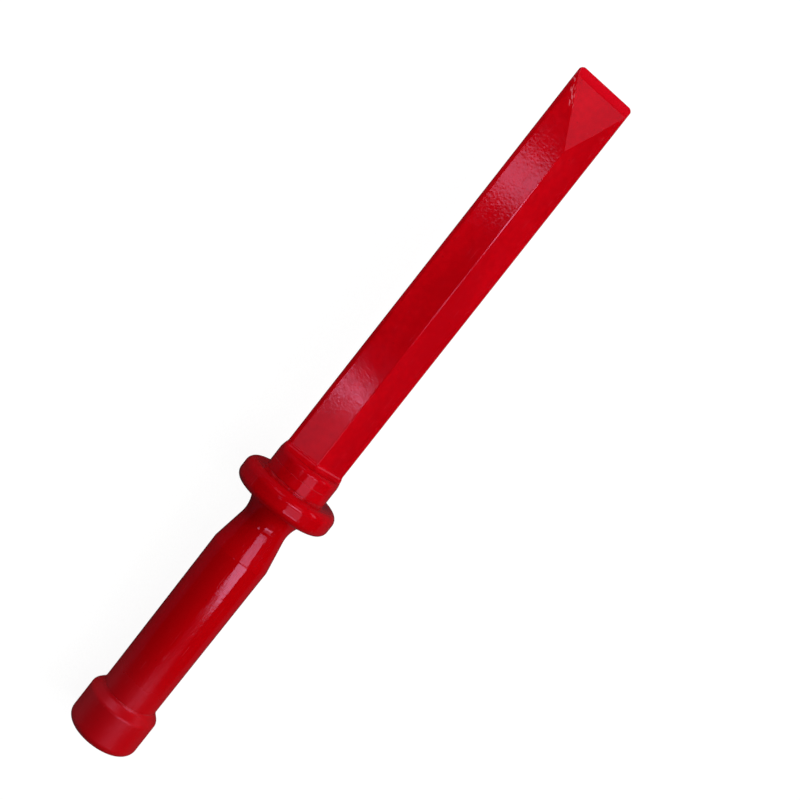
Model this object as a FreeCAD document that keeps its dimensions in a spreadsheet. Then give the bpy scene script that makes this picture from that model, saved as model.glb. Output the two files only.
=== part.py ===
import FreeCAD
import Part
import os
import Sketcher

# Plastic hive tool: a chisel-ended scraper blade with a through tang, on which a collar, a round
# hand guard and a barrel grip are threaded, closed by a striking cap at the butt.
#
# Frame: the origin is the centre of the guard's front face, on the tool's long axis.
# +X runs along the blade to the cutting edge, +Y across the blade, +Z out of its ridged face.
# All sizes are millimetres and all driving sizes are in the spreadsheet "dims".

PARTS_FOLDER = "parts"

DRIVING_DIMENSIONS = [
    # alias, value, meaning
    ("overall_length", 270.0, "butt face to cutting edge"),
    ("blade_reach", 162.5, "guard front face to cutting edge"),
    ("blade_width", 22.5, "across the blade's side walls"),
    ("blade_thickness", 11.2, "ridge to ridge, before the ridges are eased"),
    ("side_wall_height", 2.3, "height of the blade's side walls, before easing"),
    ("side_edge_radius", 1.5, "easing of the four long side edges"),
    ("ridge_radius", 0.8, "easing of the two ridges"),
    ("wedge_run", 24.9, "cutting edge back to where the wedge meets the ridge"),
    ("nose_run", 3.5, "length of the steeper bevel behind the cutting edge"),
    ("nose_thickness", 2.9, "thickness where the wedge meets the nose bevel"),
    ("tip_thickness", 0.9, "thickness of the cutting edge"),
    ("tip_corner_radius", 1.6, "rounding of the cutting edge's two corners, in plan"),
    ("tip_edge_radius", 0.3, "easing of the cutting edge"),
    ("collar_diameter", 23.3, "outside of the collar, blade shoulder and guard land"),
    ("collar_front", 4.4, "guard front face to the collar's front end"),
    ("shoulder_thickness", 4.6, "disc at the blade's root that seats on the collar"),
    ("shoulder_edge_radius", 1.8, "rounding of that disc's front edge"),
    ("root_radius", 2.5, "hollow fillet between the blade's faces and its shoulder"),
    ("seam_radius", 0.08, "easing of the edges that meet at a visible seam"),
    ("tang_side", 8.0, "side of the square tang"),
    ("tang_corner_radius", 1.0, "easing of the tang's long edges"),
    ("tang_end_gap", 1.5, "tang end to the grip's rear end"),
    ("tang_clearance", 0.05, "gap between the tang and each side of its hole"),
    ("land_height", 0.5, "raised land on the guard that the collar seats on"),
    ("guard_diameter", 35.8, "outside of the guard"),
    ("guard_rim", 8.2, "guard thickness at its rim"),
    ("guard_hub", 9.3, "guard thickness at its hub"),
    ("guard_edge_radius", 3.0, "rounding of the guard's rim"),
    ("flare_diameter", 21.0, "grip where it meets the guard's hub"),
    ("waist_diameter", 16.8, "narrowest part of the neck"),
    ("waist_position", 15.8, "guard front face to the waist"),
    ("barrel_front", 29.2, "guard front face to the front of the barrel"),
    ("barrel_front_diameter", 21.2, "barrel at its front"),
    ("barrel_rear", 90.0, "guard front face to the barrel's rear end"),
    ("barrel_rear_diameter", 20.6, "barrel at its rear"),
    ("barrel_edge_radius", 2.0, "easing where the neck meets the barrel"),
    ("spigot_diameter", 17.0, "spigot that the cap is pressed on"),
    ("spigot_length", 9.0, "length of the spigot"),
    ("cap_diameter", 25.8, "outside of the striking cap"),
    ("cap_shoulder", 3.4, "axial run of the cap's sloped shoulder"),
    ("cap_lip_diameter", 20.8, "cap where its shoulder meets the barrel"),
    ("cap_bore_diameter", 17.1, "bore of the cap over the spigot"),
    ("cap_bore_depth", 9.5, "depth of that bore"),
    ("cap_butt_radius", 3.2, "rounding of the striking face's edge"),
    ("cap_edge_radius", 1.8, "rounding of the cap's shoulder edge"),
    ("cap_foot_run", 0.9, "axial run of the hollow foot where the shoulder meets the barrel"),
    ("cap_foot_rise", 0.25, "rise of that foot"),
    ("cap_foot_radius", 1.2, "hollow rounding of that foot"),
]

START, END, CENTRE = 1, 2, 3  # Sketcher's codes for a line's or an arc's own points
ORIGIN_POINT = (-1, START)  # Sketcher's geometry id and vertex of a sketch's own origin
TRIM_MARGIN = 5.0  # how far a cutting sketch runs past the solid that it cuts
ON_PLANE = 1e-3  # a point this close to a plane or a cylinder lies on it
CONE_START_GUESS = 0.1  # where the neck's hollow turns into the cone, before the sketch is solved


def make_sheet(doc):
    sheet = doc.addObject("Spreadsheet::Sheet", "dims")
    for row, (alias, value, meaning) in enumerate(DRIVING_DIMENSIONS, start=1):
        sheet.set(f"A{row}", meaning)
        sheet.set(f"B{row}", str(value))
        sheet.setAlias(f"B{row}", alias)
    doc.recompute()
    return sheet


def make_body(doc, label):
    body = doc.addObject("PartDesign::Body", label)
    body.Label = label
    body.Placement = FreeCAD.Placement()
    return body


def origin_feature(body, role):
    return next(f for f in body.Origin.OriginFeatures if f.Role == role)


def new_sketch(body, name, role, offset=None):
    """A sketch on one of the body's origin planes, moved along the plane's normal by an expression."""
    sketch = body.newObject("Sketcher::SketchObject", name)
    sketch.AttachmentSupport = [(origin_feature(body, role), "")]
    sketch.MapMode = "FlatFace"
    if offset:
        sketch.setExpression("AttachmentOffset.Base.z", offset)
    return sketch


def place_vertex(sketch, geometry, vertex, at, name):
    """Fixes a vertex at two expressions, as named distances from the sketch's origin."""
    for axis, expression in zip(("X", "Y"), at):
        value = sketch.evalExpression(expression)
        index = sketch.addConstraint(
            Sketcher.Constraint(f"Distance{axis}", *ORIGIN_POINT, geometry, vertex, value)
        )
        sketch.renameConstraint(index, f"{name}_{axis.lower()}")
        sketch.setExpression(f"Constraints.{name}_{axis.lower()}", expression)


def vector_at(sketch, at):
    return FreeCAD.Vector(sketch.evalExpression(at[0]), sketch.evalExpression(at[1]), 0)


def add_outline(sketch, corners, prefix="corner"):
    """A closed outline of straight lines through corners, each given as two expressions."""
    points = [vector_at(sketch, at) for at in corners]
    lines = []
    for start, end in zip(points, points[1:] + points[:1]):
        lines.append(sketch.addGeometry(Part.LineSegment(start, end), False))
    for this, following in zip(lines, lines[1:] + lines[:1]):
        sketch.addConstraint(Sketcher.Constraint("Coincident", this, END, following, START))
    for number, (line, at) in enumerate(zip(lines, corners)):
        place_vertex(sketch, line, START, at, f"{prefix}{number}")


def add_circle(sketch, diameter, name):
    radius = sketch.evalExpression(diameter) / 2
    circle = Part.Circle(FreeCAD.Vector(0, 0, 0), FreeCAD.Vector(0, 0, 1), radius)
    index = sketch.addGeometry(circle, False)
    sketch.addConstraint(Sketcher.Constraint("Coincident", index, CENTRE, *ORIGIN_POINT))
    rule = sketch.addConstraint(Sketcher.Constraint("Diameter", index, 2 * radius))
    sketch.renameConstraint(rule, name)
    sketch.setExpression(f"Constraints.{name}", diameter)


def add_square(sketch, side):
    half = f"({side})/2"
    add_outline(
        sketch,
        [
            (f"-{half}", f"-{half}"),
            (half, f"-{half}"),
            (half, half),
            (f"-{half}", half),
        ],
        "square",
    )


def add_pad(body, name, sketch, length, reverse=False):
    pad = body.newObject("PartDesign::Pad", name)
    pad.Profile = sketch
    pad.Reversed = reverse
    pad.setExpression("Length", length)
    body.Document.recompute()
    return pad


def add_pocket(body, name, sketch, length=None, reverse=False):
    """Cuts the sketch out of the body, along a length or, with none given, right through both ways."""
    before = body.Shape.Volume
    pocket = body.newObject("PartDesign::Pocket", name)
    pocket.Profile = sketch
    pocket.Reversed = reverse
    if length:
        pocket.setExpression("Length", length)
    else:
        pocket.Type = "ThroughAll"
        pocket.SideType = "Symmetric"
    body.Document.recompute()
    if pocket.Shape.Volume >= before:
        raise RuntimeError(f"{body.Label}.{name} cut nothing")


def add_revolution(body, name, sketch):
    turned = body.newObject("PartDesign::Revolution", name)
    turned.Profile = sketch
    turned.ReferenceAxis = (origin_feature(body, "X_Axis"), [""])
    turned.Angle = 360
    body.Document.recompute()
    return turned


def edges_where(feature, test):
    """Names of the feature's edges whose ends and middle all pass the test."""
    names = []
    for number, edge in enumerate(feature.Shape.Edges, start=1):
        middle = edge.valueAt((edge.FirstParameter + edge.LastParameter) / 2)
        if all(test(point) for point in [v.Point for v in edge.Vertexes] + [middle]):
            names.append(f"Edge{number}")
    return names


def add_fillet(body, name, feature, edges, radius):
    if not edges:
        raise RuntimeError(f"{body.Label}.{name} has no edges to round")
    fillet = body.newObject("PartDesign::Fillet", name)
    fillet.Base = (feature, edges)
    fillet.setExpression("Radius", radius)
    body.Document.recompute()
    return fillet


def from_axis(point):
    return (point.y**2 + point.z**2) ** 0.5


def on_circle(x, radius):
    """A test for points on the circle about the axis at x."""
    return lambda point: abs(point.x - x) < ON_PLANE and abs(from_axis(point) - radius) < ON_PLANE


def cut_tang_hole(body):
    """A square hole right through, along the axis, that clears the tang."""
    sketch = new_sketch(body, "tang_hole_outline", "YZ_Plane")
    add_square(sketch, "dims.tang_side + 2*dims.tang_clearance")
    add_pocket(body, "tang_hole", sketch)


def make_blade(doc, sheet):
    """Six-sided bar, ridged on both faces, with a wedge tip, a root shoulder and a square tang."""
    body = make_body(doc, "blade")
    add_bar(body, sheet)
    add_shoulder(body, sheet)
    cut_wedge(body)
    round_tip_corners(body)
    ease_cutting_edge(body, sheet)
    add_tang(body, sheet)
    return body


def add_bar(body, sheet):
    """The six-sided bar, with its side walls and ridges eased along their whole length."""
    half_width = "dims.blade_width/2"
    half_thickness = "dims.blade_thickness/2"
    half_wall = "dims.side_wall_height/2"
    section = new_sketch(body, "blade_section", "YZ_Plane", "dims.collar_front")
    add_outline(
        section,
        [
            (half_width, f"-{half_wall}"),
            (half_width, half_wall),
            ("0", half_thickness),
            (f"-{half_width}", half_wall),
            (f"-{half_width}", f"-{half_wall}"),
            ("0", f"-{half_thickness}"),
        ],
    )
    bar = add_pad(body, "bar", section, "dims.blade_reach - dims.collar_front")
    side_edges = edges_where(bar, lambda p: abs(abs(p.y) - sheet.blade_width / 2) < ON_PLANE)
    long_edges = [e for e in side_edges if bar.Shape.getElement(e).Length > sheet.blade_width]
    eased = add_fillet(body, "side_easing", bar, long_edges, "dims.side_edge_radius")
    ridges = edges_where(eased, lambda p: abs(p.y) < ON_PLANE)
    add_fillet(body, "ridge_easing", eased, ridges, "dims.ridge_radius")


def add_shoulder(body, sheet):
    """A disc at the bar's root, blended into the bar while oversize, then trimmed and rounded."""
    blank = new_sketch(body, "shoulder_blank", "YZ_Plane", "dims.collar_front")
    add_circle(blank, "dims.guard_diameter", "blank_diameter")
    shoulder = add_pad(body, "shoulder", blank, "dims.shoulder_thickness")
    face = sheet.collar_front + sheet.shoulder_thickness
    bar_reach = sheet.blade_width / 2 + ON_PLANE
    root = edges_where(shoulder, lambda p: abs(p.x - face) < ON_PLANE and from_axis(p) < bar_reach)
    add_fillet(body, "root_hollow", shoulder, root, "dims.root_radius")
    trim = new_sketch(body, "shoulder_trim_outline", "YZ_Plane", "dims.collar_front")
    add_circle(trim, "dims.collar_diameter", "trim_inner")
    add_circle(trim, f"dims.guard_diameter + 2*{TRIM_MARGIN}", "trim_outer")
    trim_length = "dims.shoulder_thickness + dims.root_radius"
    add_pocket(body, "shoulder_trim", trim, trim_length, reverse=True)
    radius = sheet.collar_diameter / 2
    rim = edges_where(
        body.Tip,
        lambda p: p.x > face - ON_PLANE and abs(from_axis(p) - radius) < ON_PLANE,
    )
    add_fillet(body, "shoulder_rounding", body.Tip, rim, "dims.shoulder_edge_radius")


def cut_wedge(body):
    """Cuts the two wedge faces and the steeper nose bevels, above and below the middle plane."""
    half_thickness = "dims.blade_thickness/2"
    sketch = new_sketch(body, "wedge_outline", "XZ_Plane")
    for side, sign in (("upper", ""), ("lower", "-")):
        add_outline(
            sketch,
            [
                ("dims.blade_reach - dims.wedge_run", f"{sign}({half_thickness})"),
                ("dims.blade_reach - dims.nose_run", f"{sign}(dims.nose_thickness/2)"),
                ("dims.blade_reach", f"{sign}(dims.tip_thickness/2)"),
                (f"dims.blade_reach + {TRIM_MARGIN}", f"{sign}(dims.tip_thickness/2)"),
                (f"dims.blade_reach + {TRIM_MARGIN}", f"{sign}({half_thickness} + {TRIM_MARGIN})"),
                ("dims.blade_reach - dims.wedge_run", f"{sign}({half_thickness} + {TRIM_MARGIN})"),
            ],
            side,
        )
    add_pocket(body, "wedge", sketch)


def round_tip_corners(body):
    """Cuts the two corners of the cutting edge to a radius, in plan."""
    half_width = "dims.blade_width/2"
    sketch = new_sketch(body, "tip_corner_outline", "XY_Plane")
    back = "dims.blade_reach - dims.tip_corner_radius"
    for side, sign in (("left", ""), ("right", "-")):
        corners = [
            (back, f"{sign}({half_width})"),
            (back, f"{sign}({half_width} + {TRIM_MARGIN})"),
            (f"dims.blade_reach + {TRIM_MARGIN}", f"{sign}({half_width} + {TRIM_MARGIN})"),
            (f"dims.blade_reach + {TRIM_MARGIN}", f"{sign}({half_width} - dims.tip_corner_radius)"),
            ("dims.blade_reach", f"{sign}({half_width} - dims.tip_corner_radius)"),
        ]
        points = [vector_at(sketch, at) for at in corners]
        centre = vector_at(sketch, (back, corners[-1][1]))
        radius = sketch.evalExpression("dims.tip_corner_radius")
        middle = centre + (points[0] + points[-1] - centre * 2).normalize() * radius
        lines = [sketch.addGeometry(Part.LineSegment(a, b), False) for a, b in zip(points, points[1:])]
        arc = sketch.addGeometry(Part.Arc(points[-1], middle, points[0]), False)
        for this, following in zip(lines, lines[1:]):
            sketch.addConstraint(Sketcher.Constraint("Coincident", this, END, following, START))
        # An arc's start is the end met first when it is walked counter-clockwise.
        first, last = (START, END) if side == "left" else (END, START)
        sketch.addConstraint(Sketcher.Constraint("Coincident", lines[-1], END, arc, first))
        sketch.addConstraint(Sketcher.Constraint("Coincident", lines[0], START, arc, last))
        for number, (line, at) in enumerate(zip(lines, corners)):
            place_vertex(sketch, line, START, at, f"{side}{number}")
        place_vertex(sketch, lines[-1], END, corners[-1], f"{side}_last")
        rule = sketch.addConstraint(Sketcher.Constraint("Radius", arc, radius))
        sketch.renameConstraint(rule, f"{side}_radius")
        sketch.setExpression(f"Constraints.{side}_radius", "dims.tip_corner_radius")
    add_pocket(body, "tip_corners", sketch)


def ease_cutting_edge(body, sheet):
    """Rounds the two straight edges of the blunt strip that forms the cutting edge."""
    tip = body.Tip
    strip = edges_where(
        tip,
        lambda p: abs(p.x - sheet.blade_reach) < ON_PLANE
        and abs(abs(p.z) - sheet.tip_thickness / 2) < ON_PLANE,
    )
    across = [e for e in strip if tip.Shape.getElement(e).Length > sheet.tip_thickness]
    add_fillet(body, "cutting_edge_easing", tip, across, "dims.tip_edge_radius")


def add_tang(body, sheet):
    """The square bar that runs back from the shoulder through every sleeve of the handle."""
    sketch = new_sketch(body, "tang_section", "YZ_Plane", "dims.collar_front")
    add_square(sketch, "dims.tang_side")
    tang_length = "dims.collar_front + dims.barrel_rear + dims.spigot_length - dims.tang_end_gap"
    tang = add_pad(body, "tang", sketch, tang_length, reverse=True)
    half = sheet.tang_side / 2
    corners = edges_where(
        tang,
        lambda p: abs(abs(p.y) - half) < ON_PLANE
        and abs(abs(p.z) - half) < ON_PLANE
        and p.x < sheet.collar_front + ON_PLANE,
    )
    long_edges = [e for e in corners if tang.Shape.getElement(e).Length > sheet.barrel_rear]
    add_fillet(body, "tang_easing", tang, long_edges, "dims.tang_corner_radius")


def make_collar(doc, sheet):
    """Plain sleeve between the guard's land and the blade's shoulder."""
    body = make_body(doc, "collar")
    sketch = new_sketch(body, "collar_section", "YZ_Plane", "dims.land_height")
    add_circle(sketch, "dims.collar_diameter", "collar_diameter")
    ring = add_pad(body, "ring", sketch, "dims.collar_front - dims.land_height")
    radius = sheet.collar_diameter / 2
    front_edge = edges_where(ring, on_circle(sheet.collar_front, radius))
    rear_edge = edges_where(ring, on_circle(sheet.land_height, radius))
    add_fillet(body, "seam_easing", ring, front_edge + rear_edge, "dims.seam_radius")
    cut_tang_hole(body)
    return body


def make_guard(doc, sheet):
    """Round hand guard with a flat front, a raised land for the collar and a slightly coned back."""
    body = make_body(doc, "guard")
    profile = new_sketch(body, "guard_profile", "XZ_Plane")
    add_outline(
        profile,
        [
            ("dims.land_height", "0"),
            ("dims.land_height", "dims.collar_diameter/2"),
            ("0", "dims.collar_diameter/2"),
            ("0", "dims.guard_diameter/2"),
            ("-dims.guard_rim", "dims.guard_diameter/2"),
            ("-dims.guard_hub", "dims.flare_diameter/2"),
            ("-dims.guard_hub", "0"),
        ],
    )
    disc = add_revolution(body, "disc", profile)
    rim_radius = sheet.guard_diameter / 2
    front_rim = edges_where(disc, on_circle(0, rim_radius))
    rear_rim = edges_where(disc, on_circle(-sheet.guard_rim, rim_radius))
    add_fillet(body, "rim_rounding", disc, front_rim + rear_rim, "dims.guard_edge_radius")
    cut_tang_hole(body)
    return body


def make_grip(doc, sheet):
    """Handle: a waisted neck, a cone, a slightly tapered barrel and a spigot for the cap."""
    body = make_body(doc, "grip")
    profile = new_sketch(body, "grip_profile", "XZ_Plane")
    corners = [
        ("-dims.barrel_front", "dims.barrel_front_diameter/2"),
        ("-dims.barrel_rear", "dims.barrel_rear_diameter/2"),
        ("-dims.barrel_rear", "dims.spigot_diameter/2"),
        ("-dims.barrel_rear - dims.spigot_length", "dims.spigot_diameter/2"),
        ("-dims.barrel_rear - dims.spigot_length", "0"),
        ("-dims.guard_hub", "0"),
    ]
    flare_at = ("-dims.guard_hub", "dims.flare_diameter/2")
    waist_at = ("-dims.waist_position", "dims.waist_diameter/2")
    points = [vector_at(profile, at) for at in corners]
    flare = vector_at(profile, flare_at)
    waist = vector_at(profile, waist_at)
    cone_start = waist + (points[0] - waist) * CONE_START_GUESS

    lines = [profile.addGeometry(Part.LineSegment(a, b), False) for a, b in zip(points, points[1:])]
    face = profile.addGeometry(Part.LineSegment(points[-1], flare), False)
    hollow = profile.addGeometry(Part.Arc(cone_start, waist, flare), False)
    cone = profile.addGeometry(Part.LineSegment(cone_start, points[0]), False)
    waist_point = profile.addGeometry(Part.Point(waist), True)

    for this, following in zip(lines, lines[1:] + [face]):
        profile.addConstraint(Sketcher.Constraint("Coincident", this, END, following, START))
    profile.addConstraint(Sketcher.Constraint("Coincident", face, END, hollow, END))
    profile.addConstraint(Sketcher.Constraint("Coincident", cone, END, lines[0], START))
    for number, (line, at) in enumerate(zip(lines + [face], corners)):
        place_vertex(profile, line, START, at, f"corner{number}")
    place_vertex(profile, face, END, flare_at, "flare")
    # The hollow touches the waist from outside, with its centre straight over it, and runs
    # on tangent into the cone.
    place_vertex(profile, waist_point, START, waist_at, "waist")
    profile.addConstraint(Sketcher.Constraint("PointOnObject", waist_point, START, hollow))
    profile.addConstraint(Sketcher.Constraint("Vertical", waist_point, START, hollow, CENTRE))
    profile.addConstraint(Sketcher.Constraint("Tangent", hollow, START, cone, START))

    turned = add_revolution(body, "turned_shape", profile)
    front = edges_where(turned, on_circle(-sheet.barrel_front, sheet.barrel_front_diameter / 2))
    add_fillet(body, "barrel_easing", turned, front, "dims.barrel_edge_radius")
    cut_tang_hole(body)
    return body


def make_end_cap(doc, sheet):
    """Striking cap: a thick-ended cup pressed over the grip's spigot."""
    body = make_body(doc, "end_cap")
    butt = "dims.blade_reach - dims.overall_length"
    bore_end = "-dims.barrel_rear - dims.cap_bore_depth"
    profile = new_sketch(body, "cap_profile", "XZ_Plane")
    add_outline(
        profile,
        [
            (butt, "0"),
            (butt, "dims.cap_diameter/2"),
            ("-dims.barrel_rear - dims.cap_shoulder", "dims.cap_diameter/2"),
            ("-dims.barrel_rear - dims.cap_foot_run", "dims.cap_lip_diameter/2 + dims.cap_foot_rise"),
            ("-dims.barrel_rear", "dims.cap_lip_diameter/2"),
            ("-dims.barrel_rear", "dims.cap_bore_diameter/2"),
            (bore_end, "dims.cap_bore_diameter/2"),
            (bore_end, "0"),
        ],
    )
    cup = add_revolution(body, "cup", profile)
    radius = sheet.cap_diameter / 2
    butt_edge = edges_where(cup, on_circle(sheet.blade_reach - sheet.overall_length, radius))
    rounded = add_fillet(body, "butt_rounding", cup, butt_edge, "dims.cap_butt_radius")
    shoulder_edge = edges_where(rounded, on_circle(-sheet.barrel_rear - sheet.cap_shoulder, radius))
    rounded = add_fillet(body, "shoulder_rounding", rounded, shoulder_edge, "dims.cap_edge_radius")
    foot_radius = sheet.cap_lip_diameter / 2 + sheet.cap_foot_rise
    foot_edge = edges_where(rounded, on_circle(-sheet.barrel_rear - sheet.cap_foot_run, foot_radius))
    add_fillet(body, "foot_hollow", rounded, foot_edge, "dims.cap_foot_radius")
    return body


def check_document(doc, bodies):
    """Stops with a plain message if any object failed or any sub-part isn't one valid solid."""
    for obj in doc.Objects:
        if "Invalid" in obj.State or "Error" in obj.State:
            raise RuntimeError(f"{obj.Label} failed: {obj.State}")
    for body in bodies:
        shape = body.Shape
        if shape.isNull() or not shape.isValid() or len(shape.Solids) != 1:
            raise RuntimeError(f"{body.Label} isn't one valid solid")


def main():
    doc = FreeCAD.newDocument("hive_tool")
    sheet = make_sheet(doc)
    bodies = [
        make_blade(doc, sheet),
        make_collar(doc, sheet),
        make_guard(doc, sheet),
        make_grip(doc, sheet),
        make_end_cap(doc, sheet),
    ]
    doc.recompute()
    check_document(doc, bodies)
    os.makedirs(PARTS_FOLDER, exist_ok=True)
    for body in bodies:
        body.Shape.exportStep(os.path.join(PARTS_FOLDER, f"{body.Label}.step"))
        print(f"{body.Label}: {body.Shape.Volume:.0f} cubic mm")


main()
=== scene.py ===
import math

import bpy
from mathutils import Matrix, Vector


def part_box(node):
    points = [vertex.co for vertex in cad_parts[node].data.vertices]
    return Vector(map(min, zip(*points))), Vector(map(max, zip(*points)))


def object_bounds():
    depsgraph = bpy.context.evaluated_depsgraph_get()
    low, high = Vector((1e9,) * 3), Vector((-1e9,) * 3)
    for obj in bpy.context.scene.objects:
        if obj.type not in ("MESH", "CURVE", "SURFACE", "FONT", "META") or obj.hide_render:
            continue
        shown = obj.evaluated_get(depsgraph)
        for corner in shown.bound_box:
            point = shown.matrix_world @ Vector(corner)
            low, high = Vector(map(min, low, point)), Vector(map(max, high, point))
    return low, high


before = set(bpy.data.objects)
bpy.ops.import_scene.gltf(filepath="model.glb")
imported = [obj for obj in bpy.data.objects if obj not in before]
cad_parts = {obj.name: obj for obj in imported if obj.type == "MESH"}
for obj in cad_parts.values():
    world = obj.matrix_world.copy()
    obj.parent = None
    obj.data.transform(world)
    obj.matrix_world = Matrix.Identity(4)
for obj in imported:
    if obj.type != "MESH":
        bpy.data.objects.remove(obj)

# A red plastic hive tool: blade, collar, guard, grip and end cap, all one body.
# The frame's +X runs to the cutting edge, +Y across the blade, +Z out of its upper ridged face.
# Lengths are in metres, except in the plastic material, which works in millimetres.

cad_low, cad_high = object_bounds()

MM = 0.001
WHITE = (1.0, 1.0, 1.0, 1.0)

blade_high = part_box("blade")[1]
guard_low, guard_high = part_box("guard")
cap_low, cap_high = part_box("end_cap")


# ---------------------------------------------------------------- camera

CAMERA_LENS = 56.7  # mm, on a 36 mm sensor
CAMERA_DISTANCE = 0.4136  # from the aim point
CAMERA_TIP_LEAN = math.radians(4.9)  # the view leans from straight above towards the tip
CAMERA_SIDE_LEAN = math.radians(19.3)  # and over the blade's +Y side
CAMERA_NEAR = 0.01
CAMERA_FAR = 20.0
TOOL_SLANT = math.radians(51.7)  # the tool's long axis in the picture, up from level
AIM_SHIFT = Vector((15.7 * MM, -10.3 * MM, 0.0))  # the aim point, from the tool's centre
AIM = (Vector(cad_low) + Vector(cad_high)) / 2 + AIM_SHIFT

# The three directions of the view: along the tool in the picture, across it, and to the camera.
view_back = Vector(
    (
        math.sin(CAMERA_TIP_LEAN),
        math.cos(CAMERA_TIP_LEAN) * math.sin(CAMERA_SIDE_LEAN),
        math.cos(CAMERA_TIP_LEAN) * math.cos(CAMERA_SIDE_LEAN),
    )
)
long_axis = Vector((1, 0, 0))
view_along = (long_axis - view_back * long_axis.dot(view_back)).normalized()
view_across = view_back.cross(view_along)


def look_rotation(right, up, back):
    """The rotation that turns an object's own X, Y and Z into these three directions."""
    return Matrix((right, up, back)).transposed().to_4x4()


def make_camera():
    camera = bpy.data.objects.new("camera", bpy.data.cameras.new("camera"))
    bpy.context.scene.collection.objects.link(camera)
    camera.data.lens = CAMERA_LENS
    camera.data.clip_start = CAMERA_NEAR
    camera.data.clip_end = CAMERA_FAR
    right = view_along * math.cos(TOOL_SLANT) - view_across * math.sin(TOOL_SLANT)
    up = view_along * math.sin(TOOL_SLANT) + view_across * math.cos(TOOL_SLANT)
    place = Matrix.Translation(AIM + view_back * CAMERA_DISTANCE)
    camera.matrix_world = place @ look_rotation(right, up, view_back)
    bpy.context.scene.camera = camera


# ---------------------------------------------------------------- lights

STUDIO_LIGHT = 0.14  # the even light on the tool from all round
BACKDROP = 1.0  # what the camera sees behind the floor


def make_panel(name, place, size, radiance, glossy=True, diffuse=True):
    """A softbox facing the aim point.

    place is in metres from the aim point: along the tool towards the tip, across it towards the
    picture's upper left, and towards the camera. glossy and diffuse say whether the panel is
    mirrored in the plastic, and whether it lights the plastic's own colour.
    """
    width, height = size
    light = bpy.data.lights.new(name, "AREA")
    light.shape = "RECTANGLE"
    light.size = width
    light.size_y = height
    light.energy = radiance * math.pi * width * height
    panel = bpy.data.objects.new(name, light)
    bpy.context.scene.collection.objects.link(panel)
    offset = view_along * place[0] + view_across * place[1] + view_back * place[2]
    back = offset.normalized()
    right = (view_along - back * view_along.dot(back)).normalized()
    up = back.cross(right)
    panel.matrix_world = Matrix.Translation(AIM + offset) @ look_rotation(right, up, back)
    panel.visible_camera = False
    panel.visible_glossy = glossy
    panel.visible_diffuse = diffuse


def make_broad_lights():
    """The lights that model the form. They are never seen mirrored in the plastic."""
    make_panel("key", place=(0.2, -2.1, 0.9), size=(1.8, 1.6), radiance=5.0, glossy=False)
    make_panel("top", place=(0.4, 0.2, 0.35), size=(0.3, 0.3), radiance=6.6, glossy=False)


def make_strips():
    """Strips beyond the picture's lower right, each mirrored as one stretch of the tool's long
    highlight, and a panel there that is mirrored in the wedge."""
    make_panel("butt_strip", place=(-0.85, -0.80, 1.0), size=(0.60, 0.85), radiance=0.06)
    make_panel("handle_strip", place=(-0.512, -0.70, 1.0), size=(0.115, 0.85), radiance=5.0)
    make_panel("collar_strip", place=(-0.345, -0.70, 1.0), size=(0.19, 0.80), radiance=0.9)
    make_panel("neck_strip", place=(-0.056, -0.60, 1.0), size=(0.072, 0.75), radiance=3.4)
    make_panel("ridge_strip", place=(0.075, -0.55, 1.0), size=(0.085, 0.75), radiance=9.0)
    make_panel("wedge_panel", place=(0.62, -0.80, 1.0), size=(0.45, 0.5), radiance=0.5)


def make_blade_patches():
    """Small panels above the blade, mirrored as the pale patches on its upper facet."""
    make_panel("root_patch", place=(-0.255, 0.125, 1.0), size=(0.09, 0.15), radiance=0.5)
    make_panel("root_glint", place=(-0.197, 0.125, 1.0), size=(0.015, 0.15), radiance=7.0)
    make_panel("tip_patch", place=(0.102, 0.125, 1.0), size=(0.052, 0.15), radiance=2.8)


def make_rim_lights():
    """Panels that catch the guard's front rim and the shoulder's edge."""
    make_panel("guard_panel", place=(0.60, -1.0, 0.13), size=(0.5, 0.22), radiance=1.2)
    make_panel("side_panel", place=(0.96, 0.33, 1.0), size=(0.45, 0.6), radiance=0.5, diffuse=False)


def make_studio():
    """An even dim light from all round on the tool, and a pale backdrop to the camera."""
    world = bpy.data.worlds.new("studio")
    bpy.context.scene.world = world
    world.use_nodes = True
    tree = world.node_tree
    seen = tree.nodes.new("ShaderNodeLightPath").outputs["Is Camera Ray"]
    strength = tree.nodes.new("ShaderNodeMapRange")
    strength.inputs["To Min"].default_value = STUDIO_LIGHT
    strength.inputs["To Max"].default_value = BACKDROP
    tree.links.new(seen, strength.inputs["Value"])
    background = tree.nodes["Background"]
    background.inputs["Color"].default_value = WHITE
    tree.links.new(strength.outputs["Result"], background.inputs["Strength"])
    world.cycles_visibility.glossy = False
    bpy.context.scene.view_settings.view_transform = "Standard"


# ---------------------------------------------------------------- node tools


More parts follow.
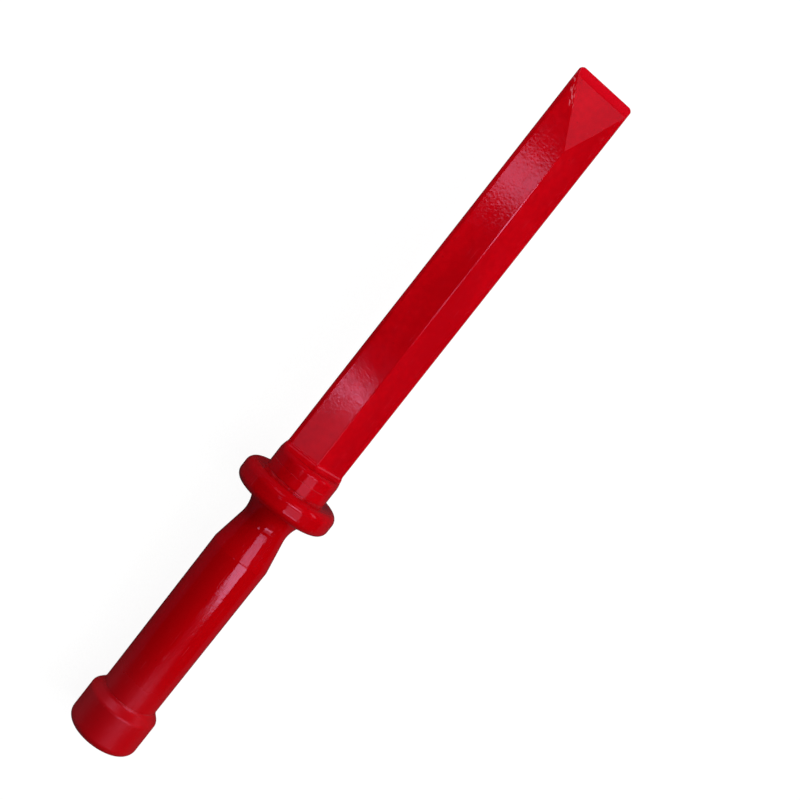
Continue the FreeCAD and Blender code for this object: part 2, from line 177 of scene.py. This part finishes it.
class Nodes:
    """A node material under construction. Each method adds a node and returns its result."""

    def __init__(self, name):
        self.material = bpy.data.materials.new(name)
        self.material.use_nodes = True
        self.tree = self.material.node_tree
        self.tree.nodes.clear()

    def feed(self, socket, value):
        """Links an output to a socket, or sets the socket to a plain value."""
        if isinstance(value, bpy.types.NodeSocket):
            self.tree.links.new(value, socket)
        else:
            socket.default_value = value

    def add(self, kind, inputs=None, **settings):
        """Adds a node of any kind, and returns the node itself."""
        node = self.tree.nodes.new(kind)
        for key, value in settings.items():
            setattr(node, key, value)
        for key, value in (inputs or {}).items():
            self.feed(node.inputs[key], value)
        return node

    def math(self, operation, a, b=0.0):
        return self.add("ShaderNodeMath", {0: a, 1: b}, operation=operation).outputs[0]

    def ramp(self, value, low, high, to_low=0.0, to_high=1.0):
        """Runs smoothly from to_low to to_high as value goes from low to high."""
        inputs = {
            "Value": value,
            "From Min": low,
            "From Max": high,
            "To Min": to_low,
            "To Max": to_high,
        }
        node = self.add("ShaderNodeMapRange", inputs, interpolation_type="SMOOTHSTEP")
        return node.outputs["Result"]

    def noise(self, place, scale, detail):
        inputs = {"Vector": place, "Scale": scale, "Detail": detail}
        return self.add("ShaderNodeTexNoise", inputs).outputs["Fac"]

    def stretch(self, place, factors):
        inputs = {0: place, 1: factors}
        return self.add("ShaderNodeVectorMath", inputs, operation="MULTIPLY").outputs[0]

    def mix_color(self, share, a, b):
        """Colour a where share is 0, colour b where it is 1."""
        node = self.add("ShaderNodeMix", data_type="RGBA")
        # The colour sockets come after those of the number and vector kinds of mix.
        self.feed(node.inputs[0], share)
        self.feed(node.inputs[6], a)
        self.feed(node.inputs[7], b)
        return node.outputs[2]

    def product(self, *masks):
        result = masks[0]
        for mask in masks[1:]:
            result = self.math("MULTIPLY", result, mask)
        return result

    def total(self, *parts):
        result = parts[0]
        for part in parts[1:]:
            result = self.math("ADD", result, part)
        return result

    def weighted_total(self, *pairs):
        """The sum of masks, each given with its weight."""
        return self.total(*[self.math("MULTIPLY", mask, weight) for mask, weight in pairs])

    def bump(self, height, distance, normal=None):
        inputs = {"Height": height, "Distance": distance}
        if normal:
            inputs["Normal"] = normal
        return self.add("ShaderNodeBump", inputs).outputs["Normal"]

    def finish(self, surface):
        self.add("ShaderNodeOutputMaterial", {"Surface": surface})
        return self.material


# ---------------------------------------------------------------- floor

# The tool lies on its guard's rim and its end cap, with the blade held clear, so the floor slopes.
GUARD_RADIUS = guard_high.z
CAP_RADIUS = cap_high.z
CAP_TOUCH = 9 * MM  # from the butt to where the floor meets the cap
FLOOR_BEHIND = 0.3  # the floor's reach behind the guard, short so that it hides no low view
FLOOR_REACH = 1.5  # its reach on the other three sides

PAPER_GREY = (0.10, 0.10, 0.10, 1.0)
PAPER_GLOW = 0.93  # the floor's own brightness to the camera
PAPER_FIBRE_SCALE = 900.0
PAPER_FIBRE_HEIGHT = 0.1 * MM
FLOOR_BOUNCE = 0.56  # the light that the floor throws back on the plastic
MIRRORED_FLOOR = (0.05, 0.04, 0.05, 1.0)  # what the plastic mirrors of it


def floor_material():
    """Pale paper to the camera, an even bounce to the plastic, and dim where it is mirrored."""
    nodes = Nodes("floor_paper")
    place = nodes.add("ShaderNodeTexCoord").outputs["Object"]
    fibre = nodes.noise(place, PAPER_FIBRE_SCALE, detail=3.0)
    relief = nodes.bump(fibre, PAPER_FIBRE_HEIGHT)
    paper = nodes.add("ShaderNodeBsdfDiffuse", {"Color": PAPER_GREY, "Normal": relief})
    glow = nodes.add("ShaderNodeEmission", {"Color": WHITE, "Strength": PAPER_GLOW})
    lit = nodes.add("ShaderNodeAddShader", {0: paper.outputs[0], 1: glow.outputs[0]})
    bounce = nodes.add("ShaderNodeEmission", {"Color": WHITE, "Strength": FLOOR_BOUNCE})
    dim = nodes.add("ShaderNodeBsdfDiffuse", {"Color": MIRRORED_FLOOR})
    ray = nodes.add("ShaderNodeLightPath").outputs
    unseen = {0: ray["Is Diffuse Ray"], 1: dim.outputs[0], 2: bounce.outputs[0]}
    other = nodes.add("ShaderNodeMixShader", unseen)
    seen = {0: ray["Is Camera Ray"], 1: other.outputs[0], 2: lit.outputs[0]}
    return nodes.finish(nodes.add("ShaderNodeMixShader", seen).outputs[0])


def make_floor():
    guard_x = guard_low.x / 2  # midway from the guard's back to its front face, which is at X = 0
    cap_x = cap_low.x + CAP_TOUCH
    slope = math.asin((GUARD_RADIUS - CAP_RADIUS) / (guard_x - cap_x))
    down = Vector((-math.sin(slope), 0, -math.cos(slope)))
    touch = Vector((guard_x, 0, 0)) + down * GUARD_RADIUS
    along = Vector((math.cos(slope), 0, -math.sin(slope)))
    side = Vector((0, 1, 0))
    corners = [
        touch - along * FLOOR_BEHIND - side * FLOOR_REACH,
        touch + along * FLOOR_REACH - side * FLOOR_REACH,
        touch + along * FLOOR_REACH + side * FLOOR_REACH,
        touch - along * FLOOR_BEHIND + side * FLOOR_REACH,
    ]
    mesh = bpy.data.meshes.new("floor")
    mesh.from_pydata(corners, [], [(0, 1, 2, 3)])
    floor = bpy.data.objects.new("floor", mesh)
    bpy.context.scene.collection.objects.link(floor)
    floor.data.materials.append(floor_material())


# ---------------------------------------------------------------- the moulded plastic

# Colours.
RED = (0.48, 0.0005, 0.004, 1.0)
DEEP_RED = (0.38, 0.0002, 0.003, 1.0)
# Painted shade: the handle's red is darker than the blade's, though the plastic is one.
SHADED_HANDLE_RED = (0.385, 0.0001, 0.002, 1.0)
# Painted glow of light through the thin nose: its red is paler and oranger.
NOSE_GLOW_RED = (0.48, 0.002, 0.008, 1.0)
SPECK_RED = (0.25, 0.0001, 0.002, 1.0)
# Pale scuffed plastic, also used as the burrs' painted glint.
SCUFF_AND_GLINT_RED = (0.75, 0.20, 0.25, 1.0)
SPECULAR_TINT = (1.0, 0.5, 0.85, 1.0)
PLASTIC_IOR = 1.5

# Places along X, in millimetres. A pair is where a change begins and where it is complete.
TIP_MM = blade_high.x / MM
BUTT_MM = cap_low.x / MM
WEDGE_RUN = 24.9  # from the ridge's end to the cutting edge
NOSE_RUN = 3.5  # the thin nose at the cutting edge
WEDGE_START = TIP_MM - WEDGE_RUN
NOSE_START = TIP_MM - NOSE_RUN
NOSE_GLOW_CHANGE = (NOSE_START - 1.0, NOSE_START + 1.5)  # the wedge's red to the nose's paler red, a painted glow of light through the thin plastic
HANDLE_SHADE_CHANGE = (12.0, -15.0)  # the blade's red to the handle's painted shade
DULL_CHANGE = (-60.0, -92.0)  # the bright grip to the dull cap
STRUCK_CHANGE = (BUTT_MM + 0.6, BUTT_MM + 0.1)  # the cap's side to its struck face

# The burrs along the wedge's border: a broad cluster, and a thin tail that runs on towards the tip.
# They are raised, and painted pale as a glint as well as wear.
BLADE_REACH = blade_high.y / MM  # half the blade's greatest width, which is at its shoulder
BURRS_BEGIN = (TIP_MM - 13.0, TIP_MM - 11.5)
CLUSTER_ENDS = (TIP_MM - 6.5, TIP_MM - 8.0)
TAIL_ENDS = (TIP_MM - 4.0, TIP_MM - 5.0)
CLUSTER_SPREAD = (1.2, 0.5)  # the distance from the border, from clear of burrs to full of them
TAIL_SPREAD = (0.45, 0.2)
BURR_SIZE = (1.6, 0.35, 1.0)  # along the border, across it and up

# Noise scales, in cycles per millimetre. A stretch does the same along X, Y and Z.
CLOUD_SCALE = 0.22
MOTTLE_SCALE = 0.5
GRAIN_SCALE = 1.1
FINE_SCALE = 2.6
DENT_SCALE = 0.6
SPECK_SCALE = 0.22
FLOW_STRETCH = (0.02, 0.07, 0.07)  # long drifts of colour along the tool
STREAK_STRETCH = (0.05, 3.0, 3.0)  # long thin scratches along it

# Where each mark fades in, as a noise level unless it says otherwise.
EDGE_TURN = (0.998, 0.97)  # the cosine between the rounded and the plain surface
WORN_EDGES = (0.40, 0.60)
SCRATCHED_AREAS = (0.50, 0.62)
SCRATCH_LINES = (0.66, 0.70)
STRUCK_DENTS = (0.54, 0.66)
BURR_PATCHES = (0.52, 0.60)
SPECK_CORE = (0.09, 0.05)  # the distance from a cell's centre
TONE_SPREAD = (0.35, 0.65)
GLOSS_SPREAD = (0.3, 0.7)
SEAM_BORDER = (0.22, 0.05)  # the moulding seam's distance from Z = 0, in millimetres

# How strongly the marks show in the colour.
FLOW_SHARE = 0.6
MOTTLE_SHARE = 0.4
SPECK_SHARE = 0.5
EDGE_WEAR = 0.10
SCRATCH_WEAR = 0.05
NICK_WEAR_AND_GLINT = 0.42
# The burrs' share is a painted glint as well as wear.
STRUCK_WEAR = 0.12

# Roughness.
GLOSS_LOW = 0.06
GLOSS_HIGH = 0.09
CAP_DULLNESS = 0.26  # added from the grip to the cap
WEAR_DULLNESS = 0.35  # added where the colour is fully worn

# Heights of the marks and the reach of the edge rounding, in millimetres.
GRAIN_HEIGHT = 0.015
FINE_HEIGHT = 0.0012
SEAM_HEIGHT = 0.03
SCRATCH_HEIGHT = -0.006
STRUCK_HEIGHT = -0.06
NICK_HEIGHT = 0.02
EDGE_ROUNDING = 0.35


def edge_mask(nodes, rounded, cloud):
    """The worn edges, where the surface turns sharply, in patches."""
    plain = nodes.add("ShaderNodeNewGeometry").outputs["Normal"]
    inputs = {0: rounded, 1: plain}
    likeness = nodes.add("ShaderNodeVectorMath", inputs, operation="DOT_PRODUCT").outputs["Value"]
    return nodes.product(nodes.ramp(likeness, *EDGE_TURN), nodes.ramp(cloud, *WORN_EDGES))


def scratch_mask(nodes, millimetres, cloud):
    """Fine scratches along the tool, in patches."""
    stretched = nodes.stretch(millimetres, STREAK_STRETCH)
    streaks = nodes.noise(stretched, scale=1.0, detail=1.0)
    return nodes.product(nodes.ramp(streaks, *SCRATCH_LINES), nodes.ramp(cloud, *SCRATCHED_AREAS))


def nick_and_glint_mask(nodes, millimetres, along, across):
    """The burrs on the wedge's +Y border, a few millimetres behind the nose, raised and painted
    pale as glints.
    """
    slope = BLADE_REACH / (NOSE_START - WEDGE_START)
    border = nodes.math("MULTIPLY", nodes.math("SUBTRACT", along, WEDGE_START), slope)
    distance = nodes.math("ABSOLUTE", nodes.math("SUBTRACT", across, border))
    inputs = {
        "Vector": millimetres,
        "Rotation": (0.0, 0.0, math.atan(slope)),
        "Scale": BURR_SIZE,
    }
    turned = nodes.add("ShaderNodeMapping", inputs, vector_type="TEXTURE").outputs[0]
    glinting_burrs = nodes.ramp(nodes.noise(turned, scale=1.0, detail=1.0), *BURR_PATCHES)
    cluster = nodes.product(
        nodes.ramp(distance, *CLUSTER_SPREAD),
        nodes.ramp(along, *CLUSTER_ENDS),
    )
    tail = nodes.product(
        nodes.ramp(distance, *TAIL_SPREAD),
        nodes.ramp(along, *TAIL_ENDS),
    )
    begin = nodes.ramp(along, *BURRS_BEGIN)
    return nodes.product(begin, glinting_burrs, nodes.math("MAXIMUM", cluster, tail))


def struck_mask(nodes, millimetres, along):
    """The dents and scuffs on the butt's struck face."""
    dents = nodes.noise(millimetres, DENT_SCALE, detail=2.0)
    return nodes.product(nodes.ramp(along, *STRUCK_CHANGE), nodes.ramp(dents, *STRUCK_DENTS))


def speck_mask(nodes, millimetres):
    """Small dark specks of pigment."""
    inputs = {"Vector": millimetres, "Scale": SPECK_SCALE}
    cells = nodes.add("ShaderNodeTexVoronoi", inputs).outputs["Distance"]
    return nodes.ramp(cells, *SPECK_CORE)


def plastic_color(nodes, millimetres, along, worn_and_glinting):
    """Drifting reds, with the handle darker as painted shade and the thin nose a little paler as a
    painted glow of light through it, with specks and wear, and the burrs painted pale as glints.
    """
    flow = nodes.noise(nodes.stretch(millimetres, FLOW_STRETCH), scale=1.0, detail=3.0)
    mottle = nodes.noise(millimetres, MOTTLE_SCALE, detail=3.0)
    tone = nodes.weighted_total((flow, FLOW_SHARE), (mottle, MOTTLE_SHARE))
    specks = nodes.math("MULTIPLY", speck_mask(nodes, millimetres), SPECK_SHARE)
    color = nodes.mix_color(nodes.ramp(tone, *TONE_SPREAD), RED, DEEP_RED)
    # Painted shade: the handle darker than the blade.
    color = nodes.mix_color(nodes.ramp(along, *HANDLE_SHADE_CHANGE), color, SHADED_HANDLE_RED)
    # Painted glow: the thin nose paler.
    color = nodes.mix_color(nodes.ramp(along, *NOSE_GLOW_CHANGE), color, NOSE_GLOW_RED)
    color = nodes.mix_color(specks, color, SPECK_RED)
    # Wear, and the burrs' painted glint.
    return nodes.mix_color(worn_and_glinting, color, SCUFF_AND_GLINT_RED)


def plastic_roughness(nodes, cloud, along, worn_and_glinting):
    """Uneven gloss, duller towards the butt, where the plastic shows wear and on the burrs painted
    pale as glints.
    """
    return nodes.total(
        nodes.ramp(cloud, *GLOSS_SPREAD, GLOSS_LOW, GLOSS_HIGH),
        nodes.ramp(along, *DULL_CHANGE, 0.0, CAP_DULLNESS),
        nodes.math("MULTIPLY", worn_and_glinting, WEAR_DULLNESS),
    )


def plastic_height(nodes, millimetres, up, scratches, struck, nicks_and_glints):
    """The moulded grain, the seam and the marks, as a height in millimetres."""
    grain = nodes.noise(millimetres, GRAIN_SCALE, detail=1.0)
    fine = nodes.noise(millimetres, FINE_SCALE, detail=2.0)
    seam = nodes.ramp(nodes.math("ABSOLUTE", up), *SEAM_BORDER)
    return nodes.weighted_total(
        (grain, GRAIN_HEIGHT),
        (fine, FINE_HEIGHT),
        (seam, SEAM_HEIGHT),
        (scratches, SCRATCH_HEIGHT),
        (struck, STRUCK_HEIGHT),
        (nicks_and_glints, NICK_HEIGHT),
    )


def plastic_material():
    """The one plastic of all five pieces."""
    nodes = Nodes("red_plastic_moulded")
    place = nodes.add("ShaderNodeTexCoord").outputs["Object"]
    millimetres = nodes.stretch(place, (1 / MM, 1 / MM, 1 / MM))
    along, across, up = nodes.add("ShaderNodeSeparateXYZ", {0: millimetres}).outputs
    bevel = nodes.add("ShaderNodeBevel", {"Radius": EDGE_ROUNDING * MM}, samples=6)
    rounded = bevel.outputs[0]
    cloud = nodes.noise(millimetres, CLOUD_SCALE, detail=3.0)

    edges = edge_mask(nodes, rounded, cloud)
    scratches = scratch_mask(nodes, millimetres, cloud)
    nicks_and_glints = nick_and_glint_mask(nodes, millimetres, along, across)
    struck = struck_mask(nodes, millimetres, along)
    # Wear, with the burrs' painted glint.
    worn_and_glinting = nodes.weighted_total(
        (edges, EDGE_WEAR),
        (scratches, SCRATCH_WEAR),
        (nicks_and_glints, NICK_WEAR_AND_GLINT),
        (struck, STRUCK_WEAR),
    )
    height = plastic_height(nodes, millimetres, up, scratches, struck, nicks_and_glints)
    surface = nodes.add(
        "ShaderNodeBsdfPrincipled",
        {
            "Base Color": plastic_color(nodes, millimetres, along, worn_and_glinting),
            "Roughness": plastic_roughness(nodes, cloud, along, worn_and_glinting),
            "IOR": PLASTIC_IOR,
            "Specular Tint": SPECULAR_TINT,
            "Normal": nodes.bump(height, MM, rounded),
        },
    )
    return nodes.finish(surface.outputs[0])


def dress_cad_nodes():
    material = plastic_material()
    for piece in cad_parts.values():
        piece.data.materials.clear()
        piece.data.materials.append(material)


dress_cad_nodes()
make_floor()
make_broad_lights()
make_strips()
make_blade_patches()
make_rim_lights()
make_studio()
make_camera()
